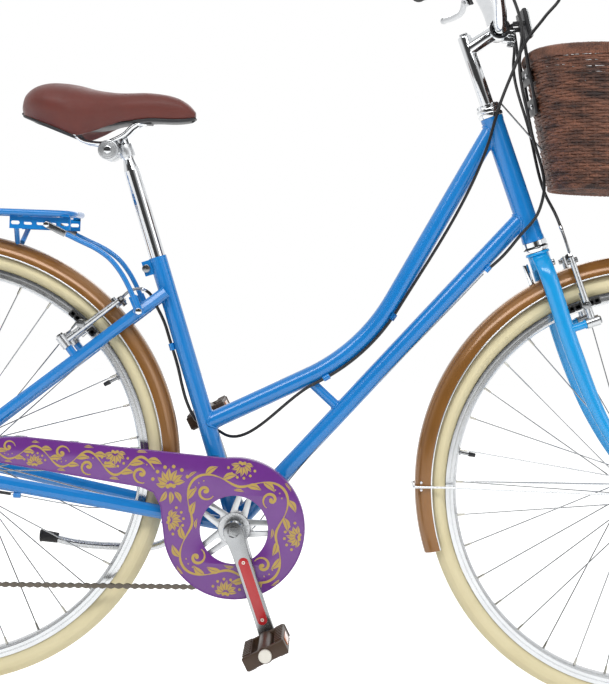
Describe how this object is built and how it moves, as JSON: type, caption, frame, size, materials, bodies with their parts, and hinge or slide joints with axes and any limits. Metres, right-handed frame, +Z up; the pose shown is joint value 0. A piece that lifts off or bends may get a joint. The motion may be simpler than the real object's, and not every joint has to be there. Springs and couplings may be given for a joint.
{
  "type": "bicycle",
  "caption": "Step-through city bicycle with wicker basket, rear rack, full mudguards, chain guard and rim brakes, built to roll, steer, pedal and brake.",
  "frame": {"origin": "on the ground, in the middle of the bicycle's length and width", "axes": "+X forward, +Y to the rider's left, +Z up"},
  "size_m": [1.839, 0.6692, 1.201],
  "materials": {
    "blue_enamel": "gloss",
    "light_blue_enamel": "gloss",
    "bronze_enamel": "satin",
    "purple_enamel": "gloss with a gold scroll pattern",
    "cream_rubber": "matt",
    "alloy": "satin",
    "chrome": "polished",
    "steel": "satin",
    "black_plastic": "satin",
    "black_rubber": "matt",
    "cable_housing": "satin",
    "brown_leather": "satin",
    "brown_wicker": "satin",
    "brown_resin": "matt",
    "red_reflector": "gloss"
  },
  "bodies": {
    "frame": {"head_tube": "blue_enamel", "top_tube": "blue_enamel", "down_tube": "blue_enamel", "seat_tube": "blue_enamel", "right_chain_stay": "blue_enamel", "left_chain_stay": "blue_enamel", "right_seat_stay": "blue_enamel", "left_seat_stay": "blue_enamel", "headset_upper_cup": "steel", "headset_lower_cup": "steel", "rear_rack": "blue_enamel", "rear_mudguard": "bronze_enamel", "rear_mudguard_stays": "chrome", "rear_reflector": "red_reflector", "chain_guard": "purple_enamel", "chain": "steel", "derailleur_body": "black_plastic", "derailleur_cage": "steel", "rear_axle": "steel", "rear_brake_cable": "cable_housing", "gear_cable": "cable_housing"},
    "seatpost_group": {"seatpost": "chrome", "saddle_clamp": "alloy", "saddle_rails": "chrome", "saddle_base": "black_plastic", "saddle_cover": "brown_leather"},
    "rear_wheel": {"rear_tyre": "cream_rubber", "rear_rim": "alloy", "rear_hub_and_spokes": "alloy"},
    "cassette_group": {"cassette": "steel"},
    "cranks": {"chainring": "alloy", "right_crank": "alloy", "left_crank": "alloy"},
    "right_pedal_group": {"right_pedal": "brown_resin"},
    "left_pedal_group": {"left_pedal": "brown_resin"},
    "kickstand": {"kickstand_leg": "alloy"},
    "steering": {"fork": "light_blue_enamel", "front_axle": "steel", "quill_stem": "chrome", "handlebar": "chrome", "right_grip": "black_rubber", "left_grip": "black_rubber", "right_lever_bracket": "alloy", "left_lever_bracket": "alloy", "front_mudguard": "bronze_enamel", "front_mudguard_stays": "chrome", "basket": "brown_wicker", "basket_bracket": "black_plastic", "front_brake_cable": "cable_housing"},
    "front_wheel": {"front_tyre": "cream_rubber", "front_rim": "alloy", "front_hub_and_spokes": "alloy"},
    "right_lever": {"right_brake_lever": "alloy"},
    "left_lever": {"left_brake_lever": "alloy"},
    "shifter_ring": {"shifter": "black_plastic"},
    "right_rear_arm": {"right_rear_brake_arm": "alloy"},
    "left_rear_arm": {"left_rear_brake_arm": "alloy"},
    "right_front_arm": {"right_front_brake_arm": "alloy"},
    "left_front_arm": {"left_front_brake_arm": "alloy"}
  },
  "joints": [
    {"name": "steering_turn", "type": "hinge", "parent": "frame", "child": "steering", "pos_m": [0.37844, 0, 0.73702], "axis": [-0.3567, 0, 0.9342], "range_deg": [-45, 45], "deforming": ["rear_brake_cable", "gear_cable"]},
    {"name": "front_wheel_spin", "type": "hinge", "parent": "steering", "child": "front_wheel", "pos_m": [0.5705, 0, 0.349], "axis": [0, 1, 0], "continuous": true},
    {"name": "rear_wheel_spin", "type": "hinge", "parent": "frame", "child": "rear_wheel", "pos_m": [-0.5395, 0, 0.349], "axis": [0, 1, 0], "continuous": true},
    {"name": "crank_spin", "type": "hinge", "parent": "frame", "child": "cranks", "pos_m": [-0.0795, 0, 0.27], "axis": [0, 1, 0], "continuous": true},
    {"name": "cassette_spin", "type": "hinge", "parent": "frame", "child": "cassette_group", "pos_m": [-0.5395, 0, 0.349], "axis": [0, 1, 0], "continuous": true},
    {"name": "right_pedal_spin", "type": "hinge", "parent": "cranks", "child": "right_pedal_group", "pos_m": [-0.02024, -0.0815, 0.11066], "axis": [0, 1, 0], "continuous": true},
    {"name": "left_pedal_spin", "type": "hinge", "parent": "cranks", "child": "left_pedal_group", "pos_m": [-0.13876, 0.0815, 0.42934], "axis": [0, 1, 0], "continuous": true},
    {"name": "kickstand_fold", "type": "hinge", "parent": "frame", "child": "kickstand", "pos_m": [-0.1745, 0.04, 0.231], "axis": [0, -0.9455, -0.3256], "range_deg": [0, 90]},
    {"name": "seatpost_slide", "type": "slide", "parent": "frame", "child": "seatpost_group", "axis": [-0.319, 0, 0.9478], "range_m": [-0.075, 0.045]},
    {"name": "right_lever_hinge", "type": "hinge", "parent": "steering", "child": "right_lever", "pos_m": [0.27501, -0.18259, 1.1482], "axis": [-0.7972, 0.2924, -0.5282], "range_deg": [0, 17], "stiffness_Nm_per_rad": 0.5},
    {"name": "left_lever_hinge", "type": "hinge", "parent": "steering", "child": "left_lever", "pos_m": [0.27501, 0.18259, 1.1482], "axis": [0.7972, 0.2924, 0.5282], "range_deg": [0, 17], "stiffness_Nm_per_rad": 0.5},
    {"name": "shifter_twist", "type": "hinge", "parent": "steering", "child": "shifter_ring", "pos_m": [0.2513, -0.19085, 1.17941], "axis": [-0.3664, -0.9297, 0.0383], "range_deg": [-52, 52]},
    {"name": "right_rear_arm_hinge", "type": "hinge", "parent": "frame", "child": "right_rear_arm", "pos_m": [-0.35787, -0.0405, 0.55197], "axis": [-0.6315, 0, 0.7754], "range_deg": [0, 2.3], "stiffness_Nm_per_rad": 3},
    {"name": "left_rear_arm_hinge", "type": "hinge", "parent": "frame", "child": "left_rear_arm", "pos_m": [-0.35787, 0.0405, 0.55197], "axis": [0.6315, 0, -0.7754], "range_deg": [0, 2.3], "stiffness_Nm_per_rad": 3},
    {"name": "right_front_arm_hinge", "type": "hinge", "parent": "steering", "child": "right_front_arm", "pos_m": [0.47048, -0.0405, 0.61374], "axis": [-0.9342, 0, -0.3567], "range_deg": [0, 2.3], "stiffness_Nm_per_rad": 3},
    {"name": "left_front_arm_hinge", "type": "hinge", "parent": "steering", "child": "left_front_arm", "pos_m": [0.47048, 0.0405, 0.61374], "axis": [0.9342, 0, 0.3567], "range_deg": [0, 2.3], "stiffness_Nm_per_rad": 3}
  ],
  "couplings": [
    {"joint": "cassette_spin", "follows": "crank_spin", "ratio": 2.3},
    {"joint": "right_rear_arm_hinge", "follows": "right_lever_hinge", "ratio": 0.135},
    {"joint": "left_rear_arm_hinge", "follows": "right_lever_hinge", "ratio": 0.135},
    {"joint": "right_front_arm_hinge", "follows": "left_lever_hinge", "ratio": 0.135},
    {"joint": "left_front_arm_hinge", "follows": "left_lever_hinge", "ratio": 0.135}
  ]
}
